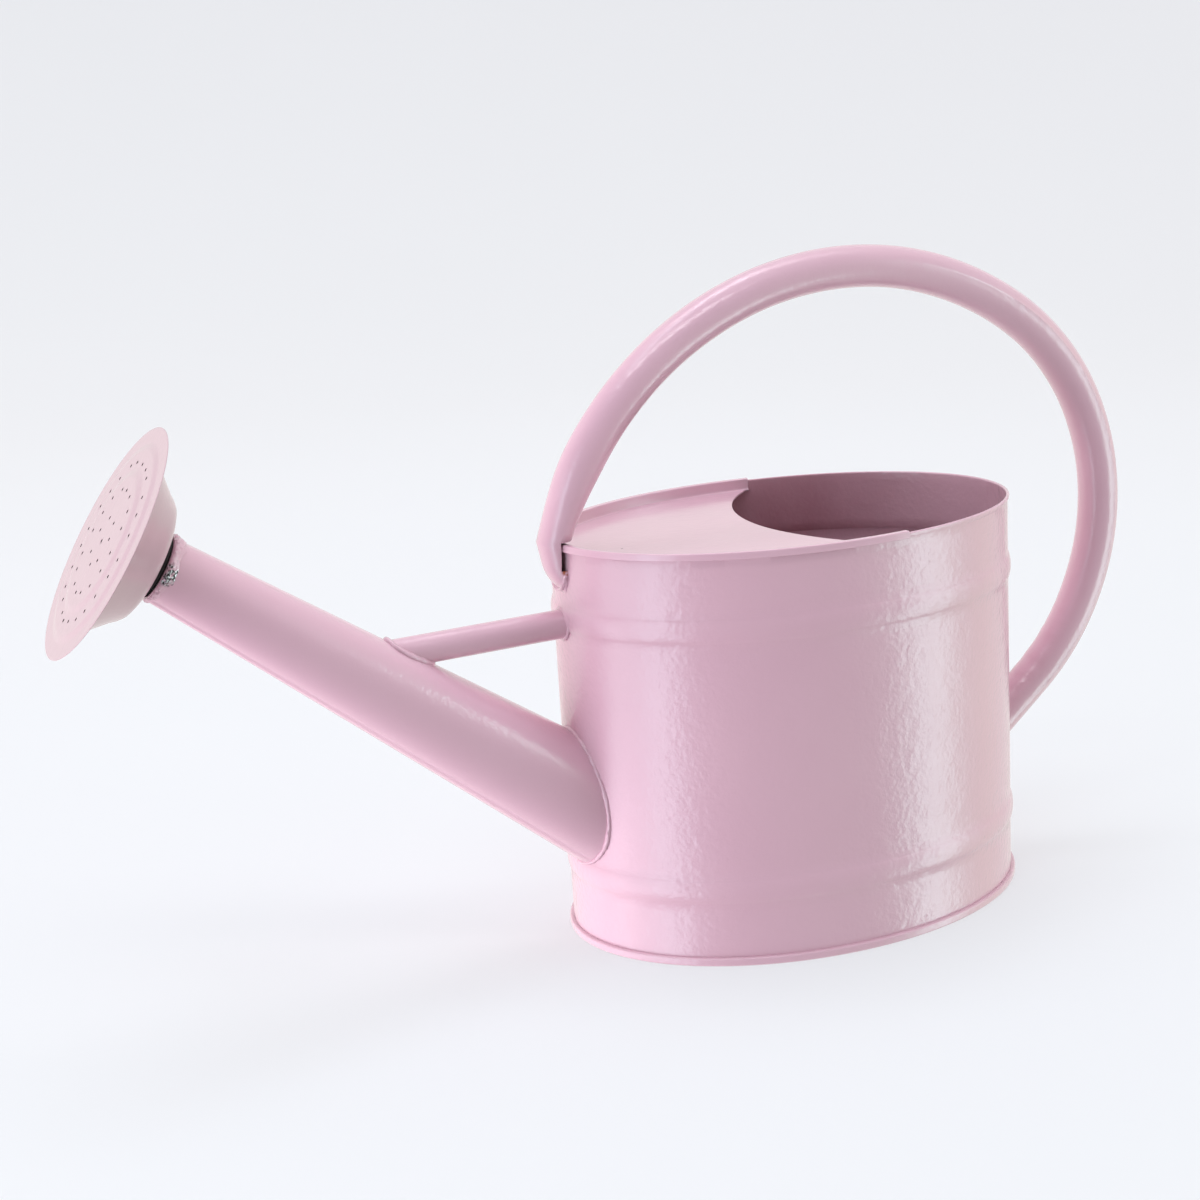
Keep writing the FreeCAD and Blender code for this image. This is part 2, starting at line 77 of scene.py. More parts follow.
COVER_SHEET = 0.7 * MM
COVER_RECESS = 5.3 * MM
SKIRT = 3 * MM
CUTOUT_RADIUS = 97.8 * MM
CUTOUT_CENTRE = 84.3 * MM
COVER_STEPS = 300
PLATE_STEPS = 18

SPOUT_ANGLE = math.radians(36.9)
SPOUT_LENGTH = 211.1 * MM
SPOUT_BASE = Vector((-HALF_LENGTH, 0, 68.5 * MM))
SPOUT_BASE_RADIUS = 24.2 * MM
SPOUT_TIP_RADIUS = 13.5 * MM
SPOUT_AXIS = Vector((-math.cos(SPOUT_ANGLE), 0, math.sin(SPOUT_ANGLE)))
SPOUT_UP = Vector((math.sin(SPOUT_ANGLE), 0, math.cos(SPOUT_ANGLE)))

TURN_JOINT = next(joint for joint in frame["joints"] if joint["type"] == "hinge")
ROSE_ORIGIN = Vector(TURN_JOINT["pos_m"])
ROSE_AXIS = Vector(TURN_JOINT["axis"]).normalized()
ROSE_DOWN = ACROSS.cross(ROSE_AXIS).normalized() * -1
ROSE_SIDE = ROSE_AXIS.cross(ROSE_DOWN)
THREAD_PITCH = 2 * MM
ROSE_REACH = 22.8 * MM
ROSE_SHEET = 0.7 * MM
FACE_SHEET = 0.4 * MM
HOLE_RINGS = ((0, 1), (10.5, 7), (22.5, 16), (34.2, 24))  # (radius in mm, number of holes)
HOLE_RADIUS = 0.73 * MM
HOLE_SIDES = 16

BRACE_RADIUS = 6.35 * MM
BRACE_SHEET = 0.8 * MM
BRACE_DROP = math.radians(1)
BRACE_AXIS = Vector((-math.cos(BRACE_DROP), 0, -math.sin(BRACE_DROP)))
BRACE_UP = BRACE_AXIS.cross(ACROSS).normalized()
BRACE_START = Vector((-HALF_LENGTH + 8 * MM, 0, 145.8 * MM))

HANDLE_RADIUS = 9.3 * MM
HANDLE_SHEET = 1 * MM
HANDLE_FRONT_RADIUS = 152 * MM
HANDLE_CENTRE = Vector((34.4 * MM, 0, 133.7 * MM))
HANDLE_REAR_RADIUS = 112 * MM
HANDLE_JOIN = math.radians(90 - 36.6)
HANDLE_END = math.radians(90 - 139.85)
HANDLE_SIDES = 72
HANDLE_TAIL = 8
HANDLE_FLAT = 0.74
HANDLE_FLAT_REACH = 40 * MM
NOTCH_GAP = 2.6 * MM
NOTCH_DEPTH = 11.5 * MM
TONGUE_LENGTH = 21.5 * MM
TONGUE_ANGLE = math.radians(10.6)


# ---- small maths ----------------------------------------------------------------------------


def smooth(low, high, value):
    """Rise smoothly from 0 at low to 1 at high."""
    t = min(max((value - low) / (high - low), 0), 1)
    return t * t * (3 - 2 * t)


def lump(x, y=0.0, z=0.0):
    """Return smooth noise from -1 to 1 at a place, the same in every run."""
    return noise.noise(Vector((x, y, z)))


def hump(value, middle, width):
    """Return a bell of height 1."""
    return math.exp(-(((value - middle) / width) ** 2))


def all_round(count):
    """Return evenly spaced angles all the way round."""
    return [2 * math.pi * step / count for step in range(count)]


def spoke(turn, up, side):
    """Return the unit vector at an angle from up towards side."""
    return up * math.cos(turn) + side * math.sin(turn)


def oval_point(turn, out=0.0, z=0.0):
    """Return a point of the body's oval, moved outwards along its normal."""
    normal = Vector((HALF_WIDTH * math.cos(turn), HALF_LENGTH * math.sin(turn), 0)).normalized()
    return Vector((HALF_LENGTH * math.cos(turn), HALF_WIDTH * math.sin(turn), z)) + normal * out


def meet_oval(start, direction, out=0.0):
    """Return where a line first meets the upright oval wall, grown outwards."""
    a = HALF_LENGTH + out
    b = HALF_WIDTH + out
    p = (direction.x / a) ** 2 + (direction.y / b) ** 2
    q = start.x * direction.x / a**2 + start.y * direction.y / b**2
    r = (start.x / a) ** 2 + (start.y / b) ** 2 - 1
    root = math.sqrt(max(q * q - p * r, 0))
    return start + direction * ((-q - root) / p)


def meet_plane(start, direction, origin, normal):
    """Return where a line meets a plane."""
    return start + direction * ((origin - start).dot(normal) / direction.dot(normal))


def arc(centre, radius, first, last, count):
    """Return points of an arc in a flat profile, angles in degrees."""
    steps = [math.radians(first + (last - first) * k / count) for k in range(count + 1)]
    return [(centre[0] + radius * math.cos(t), centre[1] + radius * math.sin(t)) for t in steps]


# ---- mesh building --------------------------------------------------------------------------


def mesh_piece(name, points, faces, sharp=32):
    """Make an object from points and faces, smooth except at sharp folds."""
    mesh = bpy.data.meshes.new(name)
    mesh.from_pydata([tuple(p) for p in points], [], faces)
    work = bmesh.new()
    work.from_mesh(mesh)
    bmesh.ops.remove_doubles(work, verts=work.verts, dist=1e-6)
    bmesh.ops.dissolve_degenerate(work, dist=1e-7, edges=work.edges)
    bmesh.ops.recalc_face_normals(work, faces=work.faces)
    work.to_mesh(mesh)
    work.free()
    mesh.polygons.foreach_set("use_smooth", [True] * len(mesh.polygons))
    mesh.set_sharp_from_angle(angle=math.radians(sharp))
    piece = bpy.data.objects.new(name, mesh)
    bpy.context.scene.collection.objects.link(piece)
    return piece


def grid_faces(rows, columns, wrap_rows, wrap_columns, first=0):
    """Return the quads of a grid of points, given row by row."""
    faces = []
    for row in range(rows if wrap_rows else rows - 1):
        below = (row + 1) % rows
        for column in range(columns if wrap_columns else columns - 1):
            right = (column + 1) % columns
            corners = ((row, column), (row, right), (below, right), (below, column))
            faces.append(tuple(first + r * columns + c for r, c in corners))
    return faces


def skin(name, rings, wrap_rings=False, caps=False, sharp=32):
    """Make a piece from closed rings of points, one after another."""
    points = [point for ring in rings for point in ring]
    columns = len(rings[0])
    faces = grid_faces(len(rings), columns, wrap_rings, True)
    if caps:
        faces.append(tuple(range(columns)))
        faces.append(tuple(range((len(rings) - 1) * columns, len(rings) * columns)))
    return mesh_piece(name, points, faces, sharp)


def swept_block(name, out, bottom, top, count=240):
    """Make an upright oval block, to cut with."""
    rings = [[oval_point(turn, out, z) for turn in all_round(count)] for z in (bottom, top)]
    return skin(name, rings, caps=True)


def pierce(piece, cutter):
    """Cut one mesh out of another and drop the cutter."""
    modifier = piece.modifiers.new("pierce", "BOOLEAN")
    modifier.operation = "DIFFERENCE"
    modifier.object = cutter
    modifier.solver = "EXACT"
    depsgraph = bpy.context.evaluated_depsgraph_get()
    depsgraph.update()
    mesh = bpy.data.meshes.new_from_object(piece.evaluated_get(depsgraph))
    piece.modifiers.clear()
    piece.data = mesh
    bpy.data.objects.remove(cutter)


def rose_point(turn, radius, reach):
    """Return a point by its angle, radius and reach from the rose's origin; turn 0 points down."""
    return ROSE_ORIGIN + ROSE_AXIS * reach + spoke(turn, ROSE_DOWN, ROSE_SIDE) * radius


def in_mm(pairs):
    """Turn (radius, reach) pairs in mm into metres."""
    return [(radius * MM, reach * MM) for radius, reach in pairs]


def turned(name, profile, count=96, sharp=32):
    """Turn a closed (radius, reach) profile about the rose's axis."""
    rings = [[rose_point(turn, *spot) for spot in profile] for turn in all_round(count)]
    return skin(name, rings, wrap_rings=True, sharp=sharp)


def finish_piece(piece, body, slot, material, *nodes):
    """Give a piece its material and its body, and hide the CAD nodes that it stands for; the slot is not
    used.
    """
    piece.data.materials.clear()
    piece.data.materials.append(material)
    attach(piece, body)
    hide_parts(*nodes)


# ---- materials ------------------------------------------------------------------------------


class Shader:
    """A small builder for node materials."""

    def __init__(self, name):
        self.material = bpy.data.materials.new(name)
        self.material.use_nodes = True
        self.tree = self.material.node_tree
        self.main = self.tree.nodes["Principled BSDF"]
        self.place = self.add("ShaderNodeTexCoord").outputs["Object"]

    def add(self, kind, **settings):
        node = self.tree.nodes.new(kind)
        for key, value in settings.items():
            setattr(node, key, value)
        return node

    def link(self, source, target):
        self.tree.links.new(source, target)

    def noise(self, scale, detail=2.0, roughness=0.5, distortion=0.0):
        node = self.add("ShaderNodeTexNoise")
        node.inputs["Scale"].default_value = scale
        node.inputs["Detail"].default_value = detail
        node.inputs["Roughness"].default_value = roughness
        node.inputs["Distortion"].default_value = distortion
        self.link(self.place, node.inputs["Vector"])
        return node.outputs["Fac"]

    def ramp(self, source, low, high, first=0.0, last=1.0):
        """Map a value from low..high on to first..last."""
        node = self.add("ShaderNodeMapRange", clamp=True)
        keys = ("From Min", "From Max", "To Min", "To Max")
        for key, value in zip(keys, (low, high, first, last)):
            node.inputs[key].default_value = value
        self.link(source, node.inputs["Value"])
        return node.outputs["Result"]

    def math(self, operation, first, second):
        node = self.add("ShaderNodeMath", operation=operation)
        for socket, value in zip(node.inputs, (first, second)):
            if isinstance(value, (int, float)):
                socket.default_value = value
            else:
                self.link(value, socket)
        return node.outputs[0]

    def mix(self, factor, first, second):
        node = self.add("ShaderNodeMix", data_type="RGBA")
        self.link(factor, node.inputs["Factor"])
        for socket, value in zip((node.inputs[6], node.inputs[7]), (first, second)):
            if isinstance(value, tuple):
                socket.default_value = (*value, 1)
            else:
                self.link(value, socket)
        return node.outputs[2]

    def near(self, spot, radius):
        """Return 1 within a radius of a spot and 0 beyond it."""
        node = self.add("ShaderNodeVectorMath", operation="DISTANCE")
        self.link(self.place, node.inputs[0])
        node.inputs[1].default_value = spot
        return self.ramp(node.outputs["Value"], radius * 0.75, radius, 1.0, 0.0)

    def inside_can(self):
        """Return 1 on the inside of the oval wall and 0 on its outside."""
        axes = self.add("ShaderNodeSeparateXYZ")
        self.link(self.place, axes.inputs[0])
        squares = []
        for axis, half in (("X", HALF_LENGTH), ("Y", HALF_WIDTH)):
            share = self.math("DIVIDE", axes.outputs[axis], half)
            squares.append(self.math("MULTIPLY", share, share))
        return self.ramp(self.math("ADD", *squares), 0.989, 0.994, 1.0, 0.0)

    def bump(self, layers, socket="Normal"):
        """Chain bumps, each (height, distance in metres, strength)."""
        normal = None
        for height, distance, strength in layers:
            node = self.add("ShaderNodeBump")
            node.inputs["Distance"].default_value = distance
            node.inputs["Strength"].default_value = strength
            self.link(height, node.inputs["Height"])
            if normal:
                self.link(normal, node.inputs["Normal"])
            normal = node.outputs["Normal"]
        self.link(normal, self.main.inputs[socket])


def linear(red, green, blue):
    """Turn a display colour of 0 to 255 into a linear one."""
    out = []
    for value in (red, green, blue):
        value /= 255
        out.append(value / 12.92 if value <= 0.04045 else ((value + 0.055) / 1.055) ** 2.4)
    return tuple(out)


PINK = linear(221, 177, 193)
# the rose's greyer tone is its own; its darker value is painted shade against the lamps that fall
# strongly on it
ROSE_SHADED_PINK = linear(193, 160, 169)
# painted shade: a darker pink for the inside of the can's wall
PAINTED_SHADE_PINK = linear(176, 122, 136)
CHIP_TONE = linear(96, 66, 74)
RUST_TONE = linear(168, 84, 40)
BARE_TONES = (linear(200, 200, 204), linear(34, 34, 38))


def powder_coat(name, colour, peel=1.0, chips=(), rust=(), lumpy=0.0, bare=(), inside=False):
    """Satin powder coat: slight tint drift, fine grain, orange peel and a few specks.

    Each chip, rust or bare patch is a (spot, radius); the orange peel is stronger in the clear
    layer than in the colour under it.
    """
    shader = Shader(name)
    drift = shader.ramp(shader.noise(14, 3), 0.3, 0.7)
    deep = tuple(c * f for c, f in zip(colour, (0.955, 0.93, 0.95)))
    tint = shader.mix(drift, colour, deep)
    grain = shader.ramp(shader.noise(2600, 1), 0.35, 0.65)
    fine = tuple(min(c * 1.015, 1) for c in colour)
    tint = shader.mix(shader.math("MULTIPLY", grain, 0.35), tint, fine)
    for spot, radius in chips:
        tint = shader.mix(shader.near(spot, radius), tint, CHIP_TONE)
    for spot, radius in rust:
        blotches = shader.ramp(shader.noise(500, 2), 0.4, 0.6)
        patch = shader.math("MULTIPLY", shader.near(spot, radius), blotches)
        tint = shader.mix(patch, tint, RUST_TONE)
    rough = shader.ramp(shader.noise(60, 4), 0.3, 0.7, 0.30, 0.36)
    # painted shade: the inner wall is darkened in blotches, less towards the rear wall where light falls
    # in
    if inside:
        shade_blotches = shader.ramp(shader.noise(30, 4, 0.6), 0.3, 0.7, 0.75, 1.0)
        along = shader.add("ShaderNodeSeparateXYZ")
        shader.link(shader.place, along.inputs[0])
        rear = shader.ramp(along.outputs["X"], 0.05, 0.104, 1.0, 0.1)
        shade_mask = shader.math("MULTIPLY", shader.inside_can(), rear)
        tint = shader.mix(shader.math("MULTIPLY", shade_mask, shade_blotches), tint, PAINTED_SHADE_PINK)
    for spot, radius in bare:
        blotches = shader.ramp(shader.noise(420, 3), 0.38, 0.5)
        patch = shader.math("MULTIPLY", shader.near(spot, radius), blotches)
        metal = shader.mix(shader.ramp(shader.noise(1100, 3), 0.45, 0.55), *BARE_TONES)
        tint = shader.mix(patch, tint, metal)
        shader.link(patch, shader.main.inputs["Metallic"])
    shader.link(tint, shader.main.inputs["Base Color"])
    shader.link(rough, shader.main.inputs["Roughness"])
    shader.main.inputs["Coat Weight"].default_value = 1.0
    shader.main.inputs["Coat Roughness"].default_value = 0.14
    shader.main.inputs["Specular IOR Level"].default_value = 0.5
    waves, pits = shader.noise(150, 2, 0.5, 0.3), shader.noise(480, 2)
    shader.bump([(waves, 0.0016, 0.26 * peel), (pits, 0.0009, 0.36 * peel)], "Coat Normal")
    layers = [(waves, 0.001, 0.14 * peel), (pits, 0.0004, 0.2 * peel)]
    if lumpy:
        layers.append((shader.noise(520, 4, 0.6, 0.6), 0.0006, lumpy))
    shader.bump(layers)
    return shader.material


def zinc(name):
    """Zinc-plated turned steel, slightly blotchy."""
    shader = Shader(name)
    blotches = shader.ramp(shader.noise(300, 3), 0.35, 0.65)
    tone = shader.mix(blotches, linear(176, 174, 168), linear(140, 138, 132))
    shader.link(tone, shader.main.inputs["Base Color"])
    shader.main.inputs["Metallic"].default_value = 1.0
    rough = shader.ramp(shader.noise(900, 3), 0.3, 0.7, 0.28, 0.45)
    shader.link(rough, shader.main.inputs["Roughness"])
    shader.bump([(shader.noise(1800, 2), 0.00005, 0.3)])
    return shader.material


def bare_steel_and_shade(name, shade=1.0):
    """Dull unpainted steel, its dark tone partly painted shade, as inside a tube."""
    shader = Shader(name)
    rust = shader.ramp(shader.noise(160, 4, 0.6), 0.5, 0.62)
    dark = tuple(shade * c for c in linear(44, 34, 36))
    brown = tuple(shade * c for c in linear(92, 52, 38))
    tone = shader.mix(rust, dark, brown)
    shader.link(tone, shader.main.inputs["Base Color"])
    shader.main.inputs["Roughness"].default_value = 0.7
    shader.bump([(shader.noise(900, 3), 0.0002, 0.4)])
    return shader.material


def rubber(name):
    """Matt black rubber."""
    shader = Shader(name)
    tone = shader.ramp(shader.noise(700, 3), 0.4, 0.6)
    tone = shader.mix(tone, linear(22, 21, 22), linear(36, 35, 36))
    shader.link(tone, shader.main.inputs["Base Color"])
    rough = shader.ramp(shader.noise(500, 3), 0.3, 0.7, 0.55, 0.75)
    shader.link(rough, shader.main.inputs["Roughness"])
    shader.bump([(shader.noise(2200, 2), 0.00006, 0.4)])
    return shader.material


def spot_mm(x, y, z, radius):
    """Return a (spot, radius) in metres."""
    return (x * MM, y * MM, z * MM), radius * MM


BARE_PATCH = (tuple(ROSE_ORIGIN - ROSE_AXIS * 1.9 * MM + Vector((0, -13.4, 0)) * MM), 5.0 * MM)
RUST_PATCH = spot_mm(-107.6, -8.0, 170.6, 2.6)
HANDLE_SPECKS = [spot_mm(-114, -9.2, 196, 0.45), spot_mm(-119.5, -8.6, 186, 0.5)]
COVER_SPECKS = [spot_mm(-82, -9, BODY_TOP / MM - 5.3, 0.6)]

body_paint = powder_coat("body_paint", PINK, inside=True)
cover_paint = powder_coat("cover_paint", PINK, peel=0.15, chips=COVER_SPECKS)
tube_paint = powder_coat("tube_paint", PINK, peel=0.6)
handle_paint = powder_coat("handle_paint", PINK, peel=0.6, chips=HANDLE_SPECKS, rust=[RUST_PATCH])
weld_paint = powder_coat("weld_paint", PINK, lumpy=0.6)
nozzle_paint = powder_coat("nozzle_paint", PINK, lumpy=0.8, bare=[BARE_PATCH])
rose_paint = powder_coat("rose_paint", ROSE_SHADED_PINK, peel=0.2)
thread_zinc = zinc("thread_zinc")
washer_rubber = rubber("washer_rubber")
# unpainted steel inside the handle's tube, darkened as painted shade
tube_inside = bare_steel_and_shade("tube_inside")
# painted shade: near-black steel on the walls of the rose's holes
hole_shade = bare_steel_and_shade("hole_shade", 0.3)


# ---- body -----------------------------------------------------------------------------------


def bead_profile(base, centre, upwards, count=14):
    """Return a rib's rounded bead on a wall face, blended into the wall at its edges."""
    points = []
    for step in range(count + 1):
        t = -1 + 2 * step / count
        z = centre + (t if upwards else -t) * RIB_HALF * 1.25
        rise = RIB_HEIGHT * (1 - t * t) ** 0.75
        points.append((base + rise, z))
    return points


def rows(base, low, high, spacing=4 * MM):
    """Return evenly spaced points up or down a flat wall face, ends left out."""
    count = max(int(abs(high - low) / spacing), 1)
    return [(base, low + (high - low) * step / count) for step in range(1, count)]


def wall_profile():
    """Return the wall's closed (out, z) section, with its two ribs and its rolled hem."""
    foot = 0.9 * MM
    low = RIB_OFFSET
    high = BODY_TOP - RIB_OFFSET
    edge = RIB_EDGE
    hem_radius = (HEM + SHEET) / 2
    hem_z = BODY_TOP - COVER_SHEET - 0.95 * MM
    outside = [(0, foot)] + rows(0, foot, low - edge) + bead_profile(0, low, True)
    outside += rows(0, low + edge, high - edge) + bead_profile(0, high, True)
    hem_foot = hem_z - 1.8 * MM
    outside += rows(0, high + edge, hem_foot) + [(0, hem_foot), (HEM * 0.75, hem_z - 0.9 * MM)]
    hem = arc((HEM - hem_radius, hem_z), hem_radius, 0, 180, 10)
    inside = rows(-SHEET, hem_z, high + edge) + bead_profile(-SHEET, high, False)
    inside += rows(-SHEET, high - edge, low + edge) + bead_profile(-SHEET, low, False)
    inside += rows(-SHEET, low - edge, foot) + [(-SHEET, foot)]
    return outside + hem + inside


def wall_ripple(turn, z):
    """Return the sheet's slight waviness and the raised lock seam at the rear."""
    fade = smooth(0, 0.02, z) * smooth(0, 0.02, BODY_TOP - z)
    degrees = (math.degrees(turn) + 180) % 360 - 180
    lock_seam = smooth(-10.4, -9.6, degrees) - smooth(-1.4, -0.6, degrees)
    seam_rise = 0.35 * MM * lock_seam * smooth(0.006, 0.01, z) * smooth(0.001, 0.006, BODY_TOP - z)
    return seam_rise + fade * 0.12 * MM * lump(3 * math.cos(turn), 3 * math.sin(turn), z * 22)


def make_body_wall():
    """Make the oval wall, with the spout's hole in its front."""
    profile = wall_profile()
    rings = []
    for turn in all_round(OVAL_SIDES):
        rings.append([oval_point(turn, out + wall_ripple(turn, z), z) for out, z in profile])
    wall = skin("wall", rings, wrap_rings=True)
    pierce(wall, spout_solid("wall_cutter", -1.6 * MM, -0.03, 0.05))
    finish_piece(wall, "root", "pink_paint", body_paint, "body_wall")


def make_base_pan():
    """Make the bottom plate, whose edge is rolled round the wall's foot."""
    seam = arc((SEAM_PROUD - SEAM_BEND, SEAM_BEND), SEAM_BEND, -90, 0, 6)
    seam += arc((SEAM_PROUD - SEAM_BEND, SEAM_HEIGHT - SEAM_BEND), SEAM_BEND, 0, 90, 6)
    inner = -SHEET - GAP
    pan = PAN_SHEET
    profile = [(inner - pan, 0.15 * MM), (inner - pan + 0.15 * MM, 0)] + seam
    profile += [(GAP, SEAM_HEIGHT), (GAP, pan), (inner, pan), (inner, PAN_RECESS)]
    shares = [1 - k / PLATE_RINGS for k in range(PLATE_RINGS)]
    top = [(share, inner - 0.2 * MM, PAN_RECESS - plate_sag(share)) for share in shares]
    bottom = [(share, inner - pan, PAN_RECESS - pan - plate_sag(share)) for share in shares[::-1]]
    loops = bottom + [(1, out, z) for out, z in profile] + top
    rings = [[plate_point(turn, *loop) for turn in all_round(OVAL_SIDES)] for loop in loops]
    finish_piece(skin("pan", rings, caps=True), "root", "pink_paint", body_paint, "base_pan")


def plate_sag(share):
    """Return how far the bottom plate sags at a share of the way out from its middle."""
    return 0.25 * MM * (1 - share * share)


def plate_point(turn, share, out, z):
    """Return a point of a smaller oval inside the body's oval."""
    edge = oval_point(turn, out, z)
    return Vector((edge.x * share, edge.y * share, z))


def cover_fold():
    """Return the cover's folded edge as (out, z): up from the plate, over the rim, and back."""
    leg = -SHEET - GAP
    inner_leg = leg - COVER_SHEET
    skirt = HEM + GAP
    plate_z = BODY_TOP - COVER_RECESS
    skirt_z = BODY_TOP - SKIRT
    under_z = BODY_TOP - COVER_SHEET
    flare = 0.35 * MM
    foot_out = skirt + COVER_SHEET + flare
    points = arc((inner_leg - 0.9 * MM, plate_z + 0.9 * MM), 0.9 * MM, -90, 0, 5)[1:]
    points += arc((leg - 0.05 * MM, BODY_TOP - 0.65 * MM), 0.65 * MM, 180, 90, 5)
    points += arc((skirt + 0.05 * MM, BODY_TOP - 0.65 * MM), 0.65 * MM, 90, 0, 5)
    points += [(skirt + COVER_SHEET + 0.05 * MM, skirt_z + 1.4 * MM)]
    points += [(foot_out, skirt_z + 0.25 * MM), (foot_out - 0.15 * MM, skirt_z)]
    points += [(skirt + flare, skirt_z), (skirt, under_z), (leg, under_z)]
    points += [(leg, plate_z - COVER_SHEET + 0.6 * MM), (leg - 0.6 * MM, plate_z - COVER_SHEET)]
    return points


def plate_row(edge, foot, z, shares):
    """Return the plate's points from its cut-out edge to the foot of its fold."""
    spots = [edge.lerp(foot, share) for share in shares]
    return [Vector((spot.x, spot.y, z + cover_wave(spot))) for spot in spots]


def make_top_cover():
    """Make the half cover: a recessed plate folded up and over the rim."""
    leg = -SHEET - GAP
    inner_leg = leg - COVER_SHEET
    plate_z = BODY_TOP - COVER_RECESS
    fold = cover_fold()
    start = math.acos(cutout_corner() / HALF_LENGTH)
    corner = oval_point(start, inner_leg)
    span = math.atan2(corner.y, CUTOUT_CENTRE - corner.x)
    shares = [k / PLATE_STEPS for k in range(PLATE_STEPS + 1)]
    back = [1 - share for share in shares]
    rings = []
    for step in range(COVER_STEPS + 1):
        share = step / COVER_STEPS
        turn = start + (2 * math.pi - 2 * start) * share
        sweep = span * (1 - 2 * share)
        edge_x = CUTOUT_CENTRE - CUTOUT_RADIUS * math.cos(sweep)
        edge = Vector((edge_x, CUTOUT_RADIUS * math.sin(sweep), 0))
        ring = plate_row(edge, oval_point(turn, inner_leg - 0.9 * MM), plate_z, shares)
        ring += [oval_point(turn, out, z) for out, z in fold]
        ring += plate_row(edge, oval_point(turn, leg - 1.0 * MM), plate_z - COVER_SHEET, back)
        rings.append(ring)
    cover = skin("cover", rings, caps=True)
    finish_piece(cover, "root", "pink_paint", cover_paint, "top_cover")


def cutout_corner():
    """Return x where the cover's round cut-out meets the oval."""
    a = 1 - (HALF_WIDTH / HALF_LENGTH) ** 2
    b = -2 * CUTOUT_CENTRE
    c = CUTOUT_CENTRE**2 + HALF_WIDTH**2 - CUTOUT_RADIUS**2
    return (-b - math.sqrt(b * b - 4 * a * c)) / (2 * a)


def cover_wave(spot):
    """Slight unevenness of the pressed cover."""
    return 0.18 * MM * lump(spot.x * 28, spot.y * 28, 4.0)


# ---- spout ----------------------------------------------------------------------------------


def spout_radius(reach, grow=0.0):
    """Return the cone's radius at a reach along its axis."""
    return SPOUT_BASE_RADIUS + (SPOUT_TIP_RADIUS - SPOUT_BASE_RADIUS) * reach / SPOUT_LENGTH + grow


def spout_line(turn, grow=0.0):
    """Return a start point and a direction of one straight line of the spout's cone."""
    way = spoke(turn, SPOUT_UP, ACROSS)
    near = SPOUT_BASE + way * spout_radius(0, grow)
    far = SPOUT_BASE + SPOUT_AXIS * SPOUT_LENGTH + way * spout_radius(SPOUT_LENGTH, grow)
    return near, (far - near).normalized()


def spout_seam(turn):
    """Return the height of the spout's lengthwise lap seam, along its underside."""
    away = math.degrees(turn) % 360 - 206
    return 0.5 * MM * (smooth(-6, -5.2, away) - smooth(-1, 7, away))


def spout_solid(name, grow, first, last, count=64):
    """Make a solid piece of the spout's cone, to cut with."""
    rings = []
    for reach in (first, last):
        middle = SPOUT_BASE + SPOUT_AXIS * reach
        radius = spout_radius(reach, grow)
        ways = [spoke(turn, SPOUT_UP, ACROSS) for turn in all_round(count)]
        rings.append([middle + way * radius for way in ways])
    return skin(name, rings, caps=True)


def tube_rings(outer, inner, stretch):
    """Return a tube's rings, out along its outside and back along its inside.

    Each side is a list of (low, high) ends of straight lines.
    """
    rings = []
    for lines, order in ((outer, range(stretch + 1)), (inner, range(stretch, -1, -1))):
        rings += [[low.lerp(high, k / stretch) for low, high in lines] for k in order]
    return rings


def make_spout_tube():
    """Make the tapered tube from the wall to the plane of the screw joint."""
    outer, inner = [], []
    for turn in all_round(240):
        for lines, grow in ((outer, spout_seam(turn)), (inner, -SHEET)):
            start, direction = spout_line(turn, grow)
            low = meet_oval(start, direction * -1, GAP)
            lines.append((low, meet_plane(start, direction, ROSE_ORIGIN, ROSE_AXIS)))
    spout = skin("spout", tube_rings(outer, inner, 40), wrap_rings=True)
    finish_piece(spout, "root", "pink_paint", tube_paint, "spout_tube")


# ---- brace ----------------------------------------------------------------------------------


def meet_spout(start, direction, grow=0.0):
    """Step along a line until it meets the spout's cone, then halve the last step."""

    def inside(reach):
        return spout_depth(start + direction * reach, grow) > 0

    stride = 0.0005
    low, high = 0.0, 0.2
    for step in range(400):
        if inside(step * stride):
            low, high = (step - 1) * stride, step * stride
            break
    for _ in range(30):
        middle = (low + high) / 2
        low, high = (low, middle) if inside(middle) else (middle, high)
    return start + direction * high


def spout_depth(point, grow=0.0):
    """Return how far a point is inside the spout's cone."""
    along = (point - SPOUT_BASE).dot(SPOUT_AXIS)
    off = (point - SPOUT_BASE - SPOUT_AXIS * along).length
    return spout_radius(along, grow) - off


def make_brace_tube():
    """Make the round tube from the wall to the spout."""
    sides = []
    for radius in (BRACE_RADIUS, BRACE_RADIUS - BRACE_SHEET):
        lines = []
        for turn in all_round(64):
            start = BRACE_START + spoke(turn, BRACE_UP, ACROSS) * radius
            low = meet_oval(start + BRACE_AXIS * 0.03, BRACE_AXIS * -1, GAP)
            lines.append((low, meet_spout(low, BRACE_AXIS)))
        sides.append(lines)
    brace = skin("brace", tube_rings(*sides, 16), wrap_rings=True)
    finish_piece(brace, "root", "pink_paint", tube_paint, "brace_tube")


# ---- handle ---------------------------------------------------------------------------------


def in_plane(angle):
    """Return the unit vector at an angle above +X in the can's middle plane."""
    return Vector((math.cos(angle), 0, math.sin(angle)))


